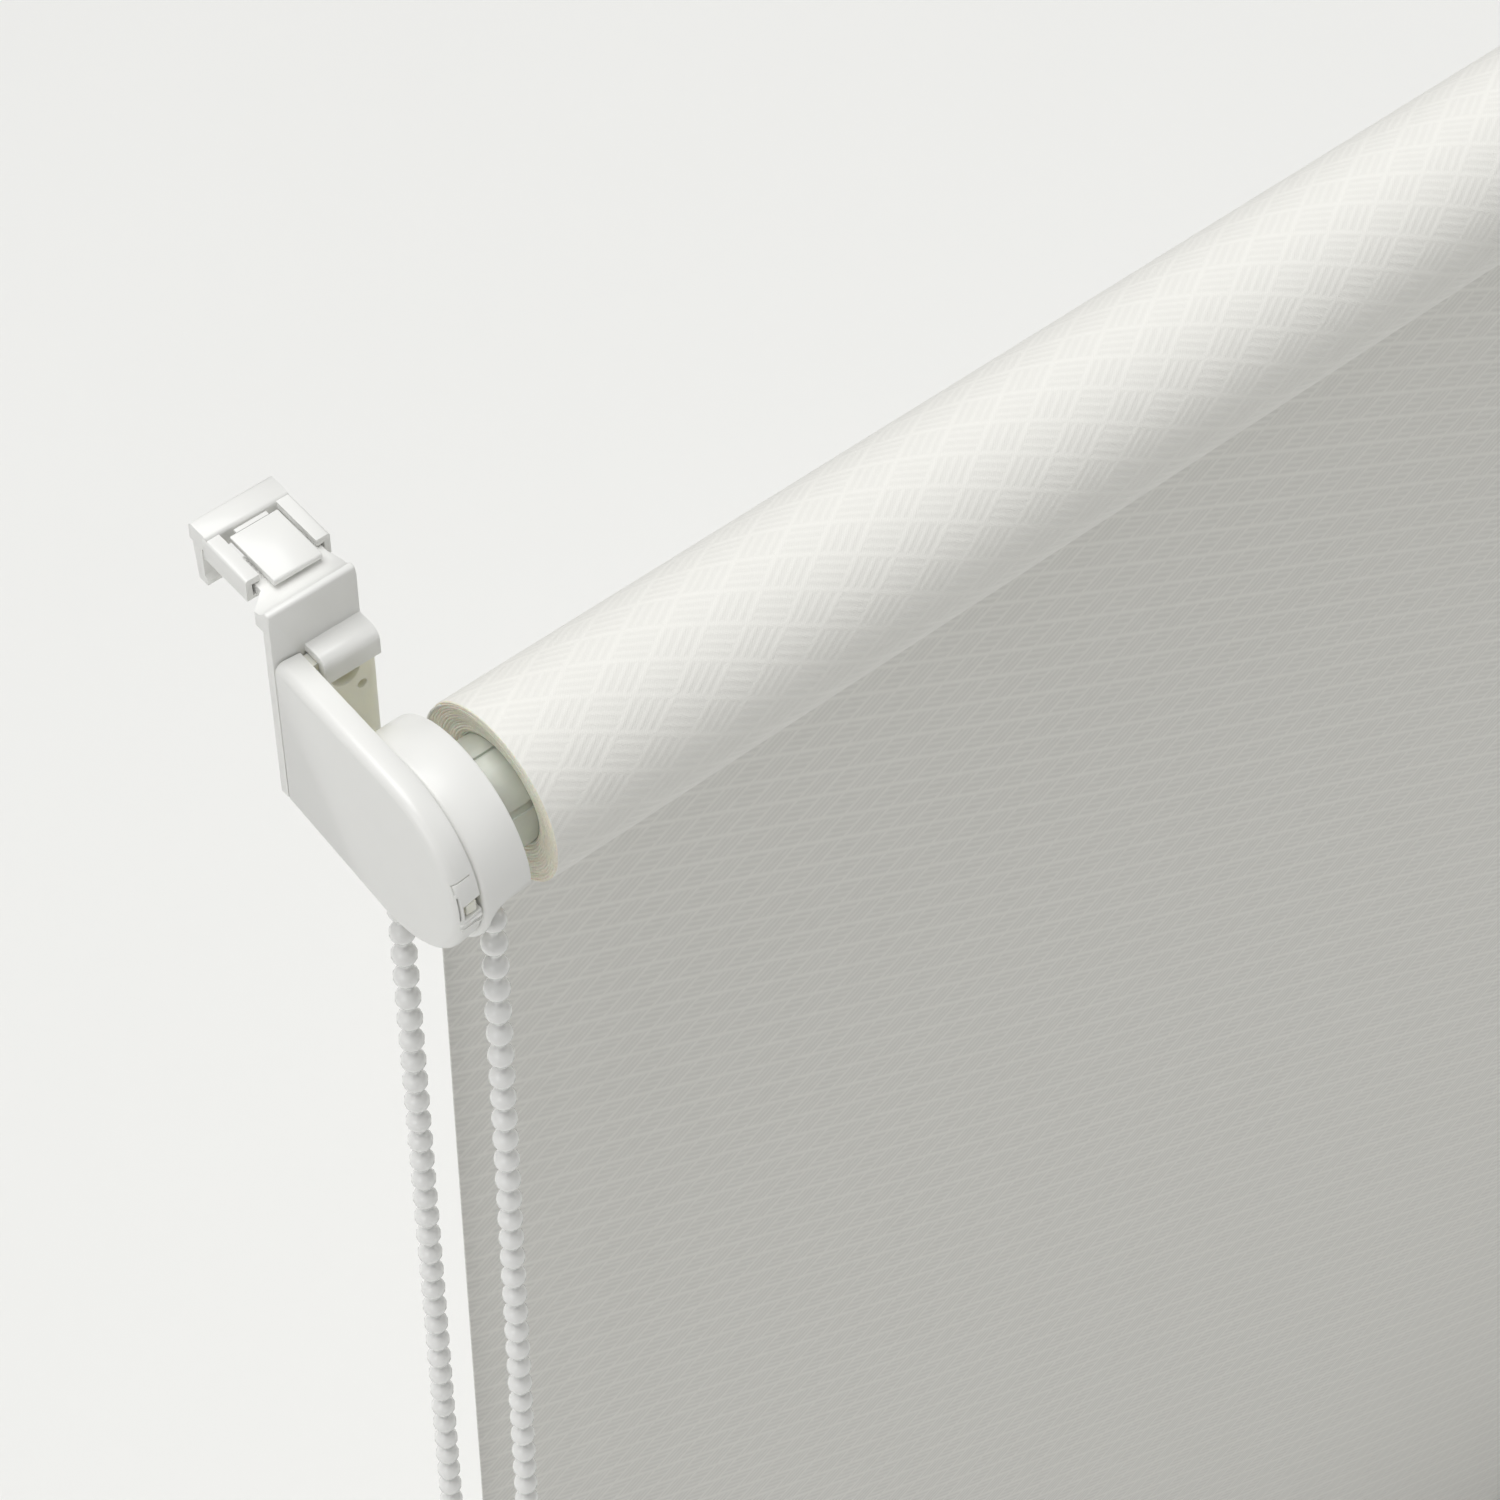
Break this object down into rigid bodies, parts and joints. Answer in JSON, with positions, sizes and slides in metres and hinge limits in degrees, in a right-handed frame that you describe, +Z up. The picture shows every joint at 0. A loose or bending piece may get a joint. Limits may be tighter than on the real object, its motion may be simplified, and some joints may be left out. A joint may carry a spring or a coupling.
{
  "type": "roller blind",
  "caption": "Clip-on roller blind with a side chain drive, a wound fabric, a hanging sheet and a weighted bottom bar.",
  "frame": {"origin": "centre of the control clip's seat, where it rests on the top edge of the window sash", "axes": "+X along the roller from the control end to the idle end, +Y towards the window sash, +Z up"},
  "size_m": [0.6024, 0.0661, 0.7514],
  "materials": {
    "white_plastic": "injection-moulded white acetal, satin gloss",
    "ivory_plastic": "injection-moulded natural nylon, milky and slightly translucent",
    "chain_plastic": "moulded white beads on a polyester cord",
    "clutch_plastic": "moulded grey nylon",
    "rod_plastic": "extruded rod",
    "tube_aluminium": "extruded, mill finish",
    "spring_steel": "drawn steel",
    "fabric": "woven jacquard polyester, off-white",
    "bar_enamel": "white enamel on extruded aluminium"
  },
  "bodies": {
    "root": {"control_clip_plate": "white_plastic", "control_bracket": "ivory_plastic", "control_arm_cover": "white_plastic", "chain_housing": "white_plastic", "clutch_post": "clutch_plastic", "clutch_spring_left": "spring_steel", "clutch_spring_right": "spring_steel", "idle_clip_plate": "white_plastic", "idle_bracket": "ivory_plastic", "idle_arm_cover": "white_plastic", "bead_chain": "chain_plastic", "fabric_sheet": "fabric"},
    "roller": {"chain_wheel": "clutch_plastic", "drive_plug": "clutch_plastic", "roller_tube": "tube_aluminium", "fabric_roll": "fabric", "idle_plug": "clutch_plastic", "pin_spring": "spring_steel"},
    "idle_pin": {"idle_pin": "spring_steel"},
    "bottom_rail": {"bottom_bar": "bar_enamel", "hem_rod": "rod_plastic", "bar_cap_left": "white_plastic", "bar_cap_right": "white_plastic"},
    "chain_joiner": {"chain_connector": "chain_plastic"},
    "control_slider": {"control_clip_hook": "white_plastic"},
    "control_tongue": {"control_release_tongue": "white_plastic"},
    "idle_slider": {"idle_clip_hook": "white_plastic"},
    "idle_tongue": {"idle_release_tongue": "white_plastic"}
  },
  "joints": [
    {"name": "roller_spin", "type": "hinge", "parent": "root", "child": "roller", "pos_m": [0.0015, -0.036, -0.0263], "axis": [1, 0, 0], "range_deg": [0, 2326.15]},
    {"name": "bottom_rail_lift", "type": "slide", "parent": "root", "child": "bottom_rail", "axis": [0, 0, 1], "range_m": [0, 0.6516], "deforming": ["fabric_sheet"]},
    {"name": "chain_joiner_run", "type": "slide", "parent": "root", "child": "chain_joiner", "axis": [0, 0, 1], "range_m": [0, 0.5045]},
    {"name": "idle_pin_retract", "type": "slide", "parent": "roller", "child": "idle_pin", "axis": [1, 0, 0], "range_m": [-0.006, 0], "stiffness_N_per_m": 150, "deforming": ["pin_spring"]},
    {"name": "control_hook_slide", "type": "slide", "parent": "root", "child": "control_slider", "axis": [0, 1, 0], "range_m": [-0.001, 0.003]},
    {"name": "control_tongue_lift", "type": "hinge", "parent": "control_slider", "child": "control_tongue", "pos_m": [0, 0.008, 0.0043], "axis": [-1, 0, 0], "range_deg": [0, 8], "stiffness_Nm_per_rad": 0.02},
    {"name": "idle_hook_slide", "type": "slide", "parent": "root", "child": "idle_slider", "axis": [0, 1, 0], "range_m": [-0.001, 0.003]},
    {"name": "idle_tongue_lift", "type": "hinge", "parent": "idle_slider", "child": "idle_tongue", "pos_m": [0.5864, 0.008, 0.0043], "axis": [-1, 0, 0], "range_deg": [0, 8], "stiffness_Nm_per_rad": 0.02}
  ],
  "couplings": [
    {"joint": "roller_spin", "follows": "bottom_rail_lift", "rad_per_m": 62.305},
    {"joint": "chain_joiner_run", "follows": "bottom_rail_lift", "ratio": 0.77346}
  ]
}
